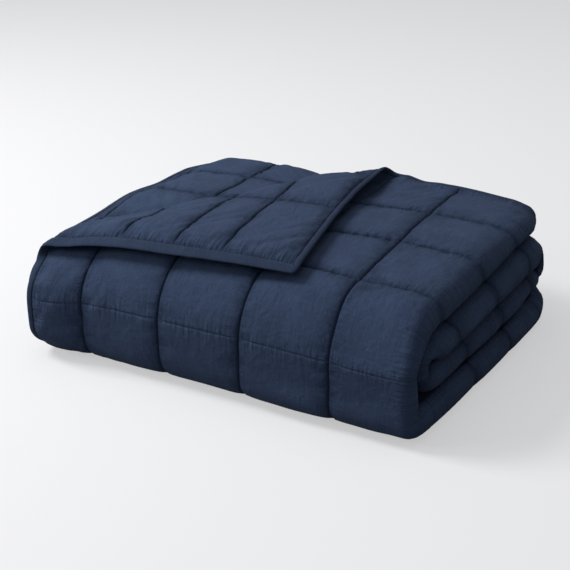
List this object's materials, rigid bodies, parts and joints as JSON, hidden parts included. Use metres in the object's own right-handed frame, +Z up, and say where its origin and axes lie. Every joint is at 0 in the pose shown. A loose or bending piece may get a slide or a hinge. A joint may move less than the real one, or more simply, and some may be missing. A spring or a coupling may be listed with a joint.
{
  "type": "weighted blanket",
  "caption": "Quilted blanket with bound edges, doubled and folded into a thick stack, with one top corner turned back.",
  "frame": {"origin": "middle of the bounding box, on the floor", "axes": "+X to the right along the front fold, towards the rounded fold; +Y from the front fold to the free end; +Z up"},
  "size_m": [0.6584, 0.564, 0.2108],
  "materials": {
    "blanket": "matt slub-weave cotton, navy",
    "binding": "matt cotton binding, navy"
  },
  "bodies": {
    "root": {"blanket": "blanket", "binding": "binding"}
  },
  "joints": []
}
